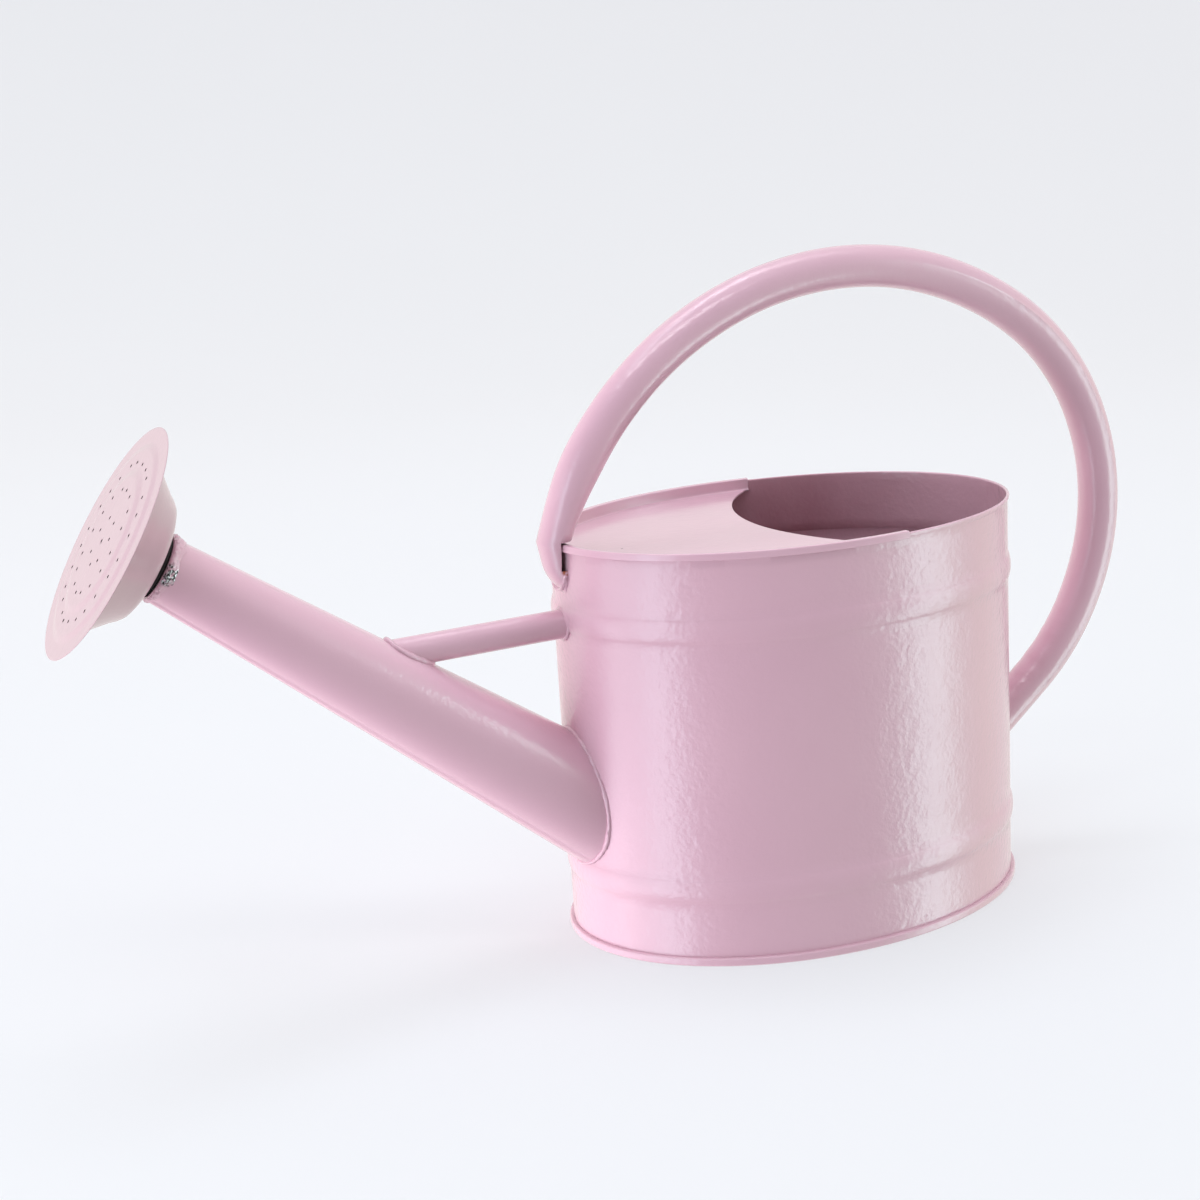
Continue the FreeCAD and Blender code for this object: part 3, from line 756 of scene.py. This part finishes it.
def handle_line():
    """Return (point, direction) along the handle from the bend at the rim to the rear wall."""
    bend = math.pi - math.asin((BODY_TOP - HANDLE_CENTRE.z) / HANDLE_FRONT_RADIUS)
    shift = HANDLE_FRONT_RADIUS - HANDLE_REAR_RADIUS
    rear_centre = HANDLE_CENTRE + in_plane(HANDLE_JOIN) * shift
    arcs = (
        (HANDLE_CENTRE, HANDLE_FRONT_RADIUS, bend, HANDLE_JOIN, 110, 0),
        (rear_centre, HANDLE_REAR_RADIUS, HANDLE_JOIN, HANDLE_END, 80, 1),
    )
    line = []
    for centre, radius, first, last, count, skipped in arcs:
        for step in range(skipped, count + 1):
            angle = first + (last - first) * step / count
            line.append((centre + in_plane(angle) * radius, in_plane(angle - math.pi / 2)))
    last, direction = line[-1]
    for step in range(1, HANDLE_TAIL + 1):
        line.append((last + direction * step * 1.8 * MM, direction))
    return line


def handle_dent(point, turn):
    """Return the small dents, bending wrinkles and raised seam of the handle's tube."""
    degrees = math.degrees(turn) % 360
    inner_side = hump((degrees + 180) % 360 - 180, 0, 60)
    rear = smooth(0.05, 0.12, point.x)
    low = smooth(0.125, 0.1, point.z) * rear
    wrinkle = 0.5 + 0.5 * math.sin(point.z * 900 + 2 * math.sin(point.z * 240))
    dent = -0.3 * MM * low * inner_side * wrinkle
    dent += 0.09 * MM * lump(point.x * 45, math.cos(turn) * 1.3, point.z * 45)
    dent += 0.32 * MM * rear * hump(degrees, 250, 4.5)
    return dent


def handle_spoke(direction, turn, flat=1.0):
    """Return the way from the handle's axis to its surface; turn 0 faces the hoop's inside."""
    inward = ACROSS.cross(direction).normalized()
    return inward * (math.cos(turn) * flat) + ACROSS * math.sin(turn)


def front_wall(y, z, out):
    """Return the point of the wall's front at a place across and up."""
    return meet_oval(Vector((-0.2, y, z)), Vector((1, 0, 0)), out)


def tongue_spot(kink, arc_direction, tongue_direction, mitre, radius, share, turn):
    """Return a point of the tongue, which is beaten flatter towards its foot on the wall."""
    start = kink + handle_spoke(arc_direction, turn, HANDLE_FLAT) * radius
    start = meet_plane(start, arc_direction, kink, mitre)
    point = start + tongue_direction * TONGUE_LENGTH * share
    squeeze = math.sqrt(max(1 - smooth(0.35, 1.04, share) ** 2, 0.0004))
    point.y *= 1 - 0.1 * smooth(0.1, 1.0, share) - 0.22 * smooth(0.75, 1.05, share)
    wall = front_wall(point.y, point.z, GAP)
    stand = wall.x - point.x
    if stand > 0:
        point.x = wall.x - stand * squeeze
    return point


def make_handle():
    """Make the hoop of tube, from the tongue on the front wall to the rear wall."""
    line = handle_line()
    kink, arc_direction = line[0]
    tongue_direction = Vector((math.sin(TONGUE_ANGLE), 0, -math.cos(TONGUE_ANGLE)))
    mitre = (arc_direction - tongue_direction).normalized()
    turns = all_round(HANDLE_SIDES)
    shells = []
    for radius in (HANDLE_RADIUS, HANDLE_RADIUS - HANDLE_SHEET):
        rings = []
        for step in range(27):
            share = 1.04 * (1 - step / 26)
            bend = (kink, arc_direction, tongue_direction, mitre, radius, share)
            rings.append([tongue_spot(*bend, turn) for turn in turns])
        for point, direction in line[1:-HANDLE_TAIL]:
            away = (point - kink).length
            if away < HANDLE_RADIUS * 0.45:
                continue
            flat = 1
            if point.x < 0:
                flat = HANDLE_FLAT + (1 - HANDLE_FLAT) * smooth(0, HANDLE_FLAT_REACH, away)
            ring = []
            for turn in turns:
                reach = radius + handle_dent(point, turn)
                ring.append(point + handle_spoke(direction, turn, flat) * reach)
            rings.append(ring)
        tail_start, direction = line[-HANDLE_TAIL - 1]
        for share in [k / 14 for k in range(1, 15)]:
            ring = []
            for turn in turns:
                way = handle_spoke(direction, turn)
                start = tail_start + way * radius
                spot = start.lerp(meet_oval(start, direction, GAP), share)
                ring.append(spot + way * handle_dent(spot, turn) * (1 - share))
            rings.append(ring)
        shells.append(rings)
    outer, inner = shells
    rows_count = len(outer)
    points = [p for rings in shells for ring in rings for p in ring]
    offset = rows_count * HANDLE_SIDES
    faces = grid_faces(rows_count, HANDLE_SIDES, False, True)
    faces += grid_faces(rows_count, HANDLE_SIDES, False, True, offset)
    for row in (0, rows_count - 1):
        for column in range(HANDLE_SIDES):
            a = row * HANDLE_SIDES + column
            b = row * HANDLE_SIDES + (column + 1) % HANDLE_SIDES
            faces.append((a, b, b + offset, a + offset))
    handle = mesh_piece("handle", points, faces, sharp=35)
    # inner faces take the dark steel: partly bare steel, partly painted shade
    for face in handle.data.polygons:
        face.material_index = int(min(face.vertices) >= offset)
    handle.data.materials.append(handle_paint)
    handle.data.materials.append(tube_inside)
    notch_top = BODY_TOP + 0.35 * MM
    pierce(handle, swept_block("notch_wall", GAP, -5 * MM, notch_top))
    notch_bottom = BODY_TOP - NOTCH_DEPTH
    pierce(handle, swept_block("notch_rim", NOTCH_GAP, notch_bottom, notch_top + 0.6 * MM))
    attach(handle, "root")
    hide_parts("handle_tube")


# ---- welds ----------------------------------------------------------------------------------


def bead(name, route, radius, seed, closed=True, rough=1.0, count=12):
    """Make a lumpy weld bead along a route of points."""
    rings = []
    total = len(route)
    middle = sum(route, Vector()) / total
    for step, centre in enumerate(route):
        ahead = route[(step + 1) % total] if closed or step < total - 1 else centre
        behind = route[step - 1] if closed or step > 0 else centre
        direction = (ahead - behind).normalized()
        side = direction.cross(centre - middle).normalized()
        up = side.cross(direction)
        taper = 1.0 if closed else min(1, 0.25 + min(step, total - 1 - step) / 5)
        wide = [part * 260 for part in centre]
        fine = [part * 500 for part in centre]
        swell = 1 + rough * 0.34 * lump(wide[0] + seed, wide[1], wide[2])
        ring = []
        for turn in all_round(count):
            way = spoke(turn, side, up)
            knob = lump(fine[0] + 2 * way.x, fine[1] + 2 * way.y, seed + fine[2])
            ring.append(centre + way * radius * swell * taper * (1 + rough * 0.3 * knob))
        rings.append(ring)
    return skin(name, rings, wrap_rings=closed, caps=not closed, sharp=80)


def nozzle_band(count=220):
    """Make the uneven band of weld round the spout's tip, from a (reach, height) section in mm."""
    taper = (SPOUT_BASE_RADIUS - SPOUT_TIP_RADIUS) / SPOUT_LENGTH
    profile = [(-0.1, -0.25), (-0.3, 0.45), (-0.8, 0.85), (-1.4, 1.0), (-2.0, 0.8), (-2.6, 0.6)]
    profile += [(-3.2, 0.45), (-3.8, 0.3), (-4.4, 0.12), (-4.9, -0.1), (-3.0, -0.4), (-1.0, -0.45)]
    rings = []
    for turn in all_round(count):
        x, y = math.cos(turn), math.sin(turn)
        stretch = 1 + 0.3 * lump(3 * x, 3 * y, 5)
        ring = []
        for reach, proud in profile:
            seat = SPOUT_TIP_RADIUS - reach * MM * taper
            rough = 0.85 * lump(12 * x, 12 * y, reach * 1.3) * (proud > 0)
            ring.append(rose_point(turn, seat + proud * (1 + rough) * MM, reach * stretch * MM))
        rings.append(ring)
    return skin("weld_nozzle", rings, wrap_rings=True, sharp=80)


def finish_weld(weld, node, material=weld_paint):
    """Give a weld bead its material and body, and hide its CAD node."""
    finish_piece(weld, "root", "painted_weld", material, node)


def make_welds():
    """Make the beads where the spout, the brace and the handle meet the wall and each other."""
    route = []
    for turn in all_round(150):
        start, direction = spout_line(turn, 0.3 * MM)
        route.append(meet_oval(start, direction * -1, 0.1 * MM))
    finish_weld(bead("weld_spout_base", route, 1.0 * MM, 3, rough=1.7), "spout_base_weld")

    wall_route, spout_route = [], []
    for turn in all_round(60):
        way = spoke(turn, BRACE_UP, ACROSS)
        start = BRACE_START + way * (BRACE_RADIUS + 0.15 * MM) + BRACE_AXIS * 0.03
        wall_route.append(meet_oval(start, BRACE_AXIS * -1, 0.3 * MM))
        spout_route.append(meet_spout(start, BRACE_AXIS, 0.1 * MM))
    finish_weld(bead("weld_brace_wall", wall_route, 1.0 * MM, 11), "brace_body_weld")
    finish_weld(bead("weld_brace_spout", spout_route, 1.5 * MM, 17), "brace_spout_weld")

    finish_weld(nozzle_band(), "nozzle_weld", nozzle_paint)

    tail_start, direction = handle_line()[-HANDLE_TAIL - 1]
    route = []
    for turn in all_round(90):
        start = tail_start + handle_spoke(direction, turn) * (HANDLE_RADIUS + 0.2 * MM)
        route.append(meet_oval(start, direction, 0.2 * MM))
    finish_weld(bead("weld_handle_rear", route, 1.1 * MM, 31), "handle_rear_weld")

    route = []
    for step in range(60):
        share = math.sin((-1 + 2 * step / 59) * math.pi / 2)
        z = BODY_TOP - 20.5 * MM + 7.5 * MM * abs(share) ** 3
        route.append(front_wall(8.4 * MM * share, z, 0.9 * MM))
    weld = bead("weld_handle_front", route, 1.1 * MM, 41, closed=False)
    finish_weld(weld, "handle_front_weld")


# ---- rose -----------------------------------------------------------------------------------


def make_rose_shell():
    """Make the rose's back: a neck, a shoulder, a cone and a flange."""
    rim = ROSE_REACH - ROSE_SHEET - GAP
    outer = [(11.85, 2.0), (12.6, 2.0), (13.4, 2.15), (18, 3.1), (22.5, 4.3), (25.2, 5.5)]
    outer += [(26.9, 7.2), (28.5, 9.4), (32, 13.2), (36, 17.6), (38.6, 20.4), (39.4, 21.0), (42.4, 21.3)]
    wall = in_mm(outer)
    inner = [(r - 0.35 * MM, z + 0.62 * MM) for r, z in wall[1:-2]]
    profile = wall + [(42.4 * MM, rim), (38.9 * MM, rim)] + inner[::-1]
    profile += [(11.85 * MM, 2 * MM + ROSE_SHEET)]
    shell = turned("shell", profile, count=144, sharp=38)
    finish_piece(shell, "rose", "rose_paint", rose_paint, "rose_shell")


def face_rise(radius):
    """Return how far the pressed face stands in front of its flange."""
    outer = smooth(43.5 * MM, 39 * MM, radius)
    inner = smooth(32 * MM, 27 * MM, radius)
    return 0.75 * MM * (outer + inner)


def hole_centres():
    """Return the middles of the rose's holes at reach 0, a little out of place as in real work."""
    centres = []
    for ring_radius, number in HOLE_RINGS:
        for k in range(number):
            turn = 2 * math.pi * (k + 0.09 * math.sin(2.4 * k + ring_radius)) / number
            stray = 0.5 * math.sin(1.7 * k + ring_radius) if ring_radius else 0
            radius = (ring_radius + stray) * MM
            down, across = ROSE_DOWN * radius * math.cos(turn), ACROSS * radius * math.sin(turn)
            centres.append(ROSE_ORIGIN + down + across)
    return centres


def make_rose_face():
    """Make the perforated face, with a flat flange and two pressed steps."""
    radii = [0.4 * MM] + [r * MM for r in np.linspace(2, 48, 93)] + [49.2 * MM, 49.6 * MM]
    back_reach = ROSE_REACH - FACE_SHEET
    front = [(r, ROSE_REACH + face_rise(r)) for r in radii]
    edge = [(49.9 * MM, ROSE_REACH - 0.12 * MM), (49.9 * MM, back_reach + 0.12 * MM)]
    back = [(r, back_reach + face_rise(r)) for r in radii]
    profile = front + edge + back[::-1]
    rings = [[rose_point(turn, *spot) for turn in all_round(144)] for spot in profile]
    face = skin("face", rings, caps=True, sharp=40)
    points, faces = [], []
    for centre in hole_centres():
        first = len(points)
        middle = first + HOLE_SIDES
        for reach in (ROSE_REACH - 4 * MM, ROSE_REACH + 6 * MM):
            for turn in all_round(HOLE_SIDES):
                way = spoke(turn, ROSE_DOWN, ROSE_SIDE)
                points.append(centre + ROSE_AXIS * reach + way * HOLE_RADIUS)
        faces += grid_faces(2, HOLE_SIDES, False, True, first)
        faces += [tuple(range(first, middle)), tuple(range(middle, middle + HOLE_SIDES))]
    pierce(face, mesh_piece("face_cutter", points, faces))
    face.data.materials.append(rose_paint)
    face.data.materials.append(hole_shade)
    # faces across the face near its middle, mostly the holes' walls, take the painted shade material
    for polygon in face.data.polygons:
        away = (polygon.center - ROSE_ORIGIN).cross(ROSE_AXIS).length
        polygon.material_index = int(away < 46 * MM and abs(polygon.normal.dot(ROSE_AXIS)) < 0.4)
    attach(face, "rose")
    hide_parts("rose_face")


def threaded(name, base, depth, low, high, extra, body, node):
    """Make a threaded tube: a helical groove between two reaches, closed by a plain profile."""
    turns = all_round(96)
    rings = []
    steps = int((high - low) / (0.12 * MM))
    for k in range(steps + 1):
        reach = low + (high - low) * k / steps
        fade = smooth(0, 0.8 * MM, reach - low) * smooth(0, 0.8 * MM, high - reach)
        ring = []
        for turn in turns:
            phase = (reach / THREAD_PITCH - turn / (2 * math.pi)) % 1
            ridge = min(max(abs(phase - 0.5) * 4 - 0.5, 0), 1)
            ring.append(rose_point(turn, base + depth * ridge * fade, reach))
        rings.append(ring)
    rings += [[rose_point(turn, *spot) for turn in turns] for spot in extra]
    piece = skin(name, rings, wrap_rings=True, sharp=38)
    finish_piece(piece, body, "zinc_thread", thread_zinc, node)


def make_screw_joint():
    """Make the threaded ferrule and socket, and the washer between them."""
    end = in_mm([(8.4, 9.5), (7.6, 9.5), (7.6, -6), (10, -6), (10, -1.6), (12.1, -1.6)])
    end += in_mm([(12.1, 0), (9.1, 0)])
    span = (0.2 * MM, 9.1 * MM)
    threaded("ferrule", 8.95 * MM, -0.9 * MM, *span, end, "root", "spout_ferrule")
    end = in_mm([(9.6, 11), (11.8, 11), (11.8, 2.05), (9.6, 2.05)])
    span = (2.3 * MM, 10.8 * MM)
    threaded("socket", 9.08 * MM, 0.8 * MM, *span, end, "rose", "rose_socket")
    rounded = arc((12.0 * MM, 1.0 * MM), 0.85 * MM, -90, 90, 10)
    rounded += in_mm([(9.6, 1.85), (9.45, 1.7), (9.45, 0.3), (9.6, 0.15)])
    washer = turned("washer", rounded, count=96, sharp=50)
    finish_piece(washer, "washer", "black_rubber", washer_rubber, "rose_washer")


# ---- stage, lights and camera ---------------------------------------------------------------


FLOOR_RADIUS = 1.6
WALL_BEND = 1.5
WALL_TOP = 2.2
SKY_BEARING = math.radians(27.5)
STAGE_PALE = (0.80, 0.81, 0.835)
STAGE_GLOW = 0.48
STAGE_MATT = 0.45
SKY = (0.9, 0.86, 0.84)
SKY_BACK = 0.97
SKY_FRONT = 0.32
CAMERA_PLACE = (-0.4013, -0.7722, 0.3636)
CAMERA_ANGLES = (-21.96, 14.17, -3.53)
CAMERA_LENS = 59.43


def scaled(colour, share):
    """Return a share of a colour."""
    return tuple(part * share for part in colour)


def make_stage():
    """Make a pale paper bowl, a flat floor that curves up into a wall.

    It glows a little but sends no light to the can, which only the lamps and the sky light.
    """
    profile = [(r, 0.0) for r in (0.001, 0.4, 0.8, 1.2, FLOOR_RADIUS)]
    for step in range(1, 25):
        turn = math.pi / 2 * step / 24
        radius = FLOOR_RADIUS + WALL_BEND * math.sin(turn)
        profile.append((radius, WALL_BEND * (1 - math.cos(turn))))
    profile.append((FLOOR_RADIUS + WALL_BEND, WALL_TOP))
    turns = all_round(128)
    points = [(r * math.cos(turn), r * math.sin(turn), z) for r, z in profile for turn in turns]
    faces = grid_faces(len(profile), len(turns), False, True) + [tuple(range(len(turns)))]
    bowl = mesh_piece("bowl", points, faces, sharp=60)
    shader = Shader("paper")
    cloud = shader.ramp(shader.noise(3, 2), 0.3, 0.7)
    paper = scaled(STAGE_PALE, STAGE_MATT)
    tone = shader.mix(cloud, paper, scaled(STAGE_PALE, STAGE_MATT * 1.01))
    shader.link(tone, shader.main.inputs["Base Color"])
    shader.main.inputs["Emission Color"].default_value = (*STAGE_PALE, 1)
    shader.main.inputs["Emission Strength"].default_value = STAGE_GLOW / STAGE_PALE[0]
    shader.main.inputs["Roughness"].default_value = 0.9
    shader.main.inputs["Specular IOR Level"].default_value = 0.1
    bowl.data.materials.append(shader.material)
    bowl.visible_glossy = False
    bowl.visible_diffuse = False
    bowl.visible_shadow = False


def softbox(name, bearing, spread, radiance, bottom=-1.0, top=0.9, distance=1.5):
    """Stand an upright softbox facing the can.

    The bearing is in degrees to the right of -Y, and the spread is the degrees it fills.
    """
    turn = math.radians(bearing)
    width = distance * math.radians(spread)
    place = Vector((math.sin(turn), -math.cos(turn), 0)) * distance
    place += Vector((0, 0, (bottom + top) / 2))
    return area_light(name, place, (0, 0, place.z), width, top - bottom, radiance)


def area_light(name, place, target, width, height, radiance):
    """Add a lamp that sends out an (r, g, b) radiance."""
    strongest = max(radiance)
    data = bpy.data.lights.new(name, "AREA")
    data.shape = "RECTANGLE"
    data.size = width
    data.size_y = height
    data.energy = strongest * math.pi * width * height
    data.color = [part / strongest for part in radiance]
    lamp = bpy.data.objects.new(name, data)
    lamp.location = place
    lamp.rotation_euler = (Vector(target) - Vector(place)).to_track_quat("-Z", "Y").to_euler()
    lamp.visible_camera = False
    bpy.context.scene.collection.objects.link(lamp)
    return lamp


def make_lights():
    """Place the lamps; four wide ones are not seen in reflections."""
    softbox("left_wide", -86, 34, (0.8, 0.9, 0.95))
    softbox("left_core", -61.5, 13, (1.95, 2.55, 2.75))
    softbox("left_edge", -51, 7, (1.29, 1.65, 1.79))
    softbox("right_wide", 54.5, 30, (0.92, 1.29, 1.1))
    softbox("right_core", 53.5, 14.5, (1.5, 2.0, 2.1))
    softbox("right_warm", 83.5, 27, (0.15, 0.15, 0.02))
    low = softbox("back_left_low", -140, 57, (1.0, 1.0, 0.7), -1.4, 0.2, 1.8)
    side = softbox("low_left", -108, 60, (2.9, 2.6, 3.1), -1.7, -0.1, 1.8)
    high = area_light("overhead", (0, 0, 2.2), (0, 0, 0), 2.0, 2.0, (0.52, 0.7, 0.92))
    soft = softbox("left_soft", -85, 40, (1.1, 0.98, 1.02), -1.0, 0.6, 1.8)
    for lamp in (low, side, soft, high):
        lamp.visible_glossy = False
    area_light("top_front", (-0.39, -0.75, 1.6), (0, 0, 0.15), 1.1, 0.22, (5.6, 5.5, 5.6))
    area_light("wall_wash_right", (0.2, 0.5, 2.6), (1.6, 3.0, 0.9), 2.4, 1.0, (2.6, 2.45, 2.55))
    area_light("wall_wash_left", (-0.6, 0.3, 2.6), (-1.6, 2.0, 0.6), 2.4, 1.0, (2.0, 2.2, 2.35))


def make_sky():
    """Make a sky that is dimmer on the side of the spout and the can's near wall."""
    world = bpy.data.worlds.new("studio")
    bpy.context.scene.world = world
    world.use_nodes = True
    nodes, links = world.node_tree.nodes, world.node_tree.links
    place = nodes.new("ShaderNodeTexCoord")
    towards = nodes.new("ShaderNodeVectorMath")
    towards.operation = "DOT_PRODUCT"
    towards.inputs[1].default_value = (-math.sin(SKY_BEARING), -math.cos(SKY_BEARING), 0)
    links.new(place.outputs["Generated"], towards.inputs[0])
    fade = nodes.new("ShaderNodeMapRange")
    limits = {"From Min": -0.1, "From Max": 0.7, "To Min": SKY_BACK, "To Max": SKY_FRONT}
    for key, value in limits.items():
        fade.inputs[key].default_value = value
    links.new(towards.outputs["Value"], fade.inputs["Value"])
    back = nodes["Background"]
    back.inputs["Color"].default_value = (*SKY, 1)
    links.new(fade.outputs["Result"], back.inputs["Strength"])


def make_camera():
    """Place the camera by its bearing, pitch and roll in degrees."""
    bearing, pitch, roll = (math.radians(angle) for angle in CAMERA_ANGLES)
    level_x, level_y = -math.sin(bearing), math.cos(bearing)
    forward = Vector((level_x * math.cos(pitch), level_y * math.cos(pitch), -math.sin(pitch)))
    right = forward.cross(Vector((0, 0, 1))).normalized()
    up = right.cross(forward)
    level = Matrix((right, up, -forward)).transposed()
    tilted = level @ Matrix.Rotation(roll, 3, "Z")
    data = bpy.data.cameras.new("camera")
    data.sensor_width = 36
    data.lens = CAMERA_LENS
    data.clip_start = 0.01
    camera = bpy.data.objects.new("camera", data)
    camera.matrix_world = Matrix.Translation(CAMERA_PLACE) @ tilted.to_4x4()
    bpy.context.scene.collection.objects.link(camera)
    bpy.context.scene.camera = camera


make_body_wall()
make_base_pan()
make_top_cover()
make_spout_tube()
make_brace_tube()
make_handle()
make_welds()
make_rose_shell()
make_rose_face()
make_screw_joint()
make_stage()
make_lights()
make_sky()
make_camera()
bpy.context.scene.view_settings.view_transform = "Standard"
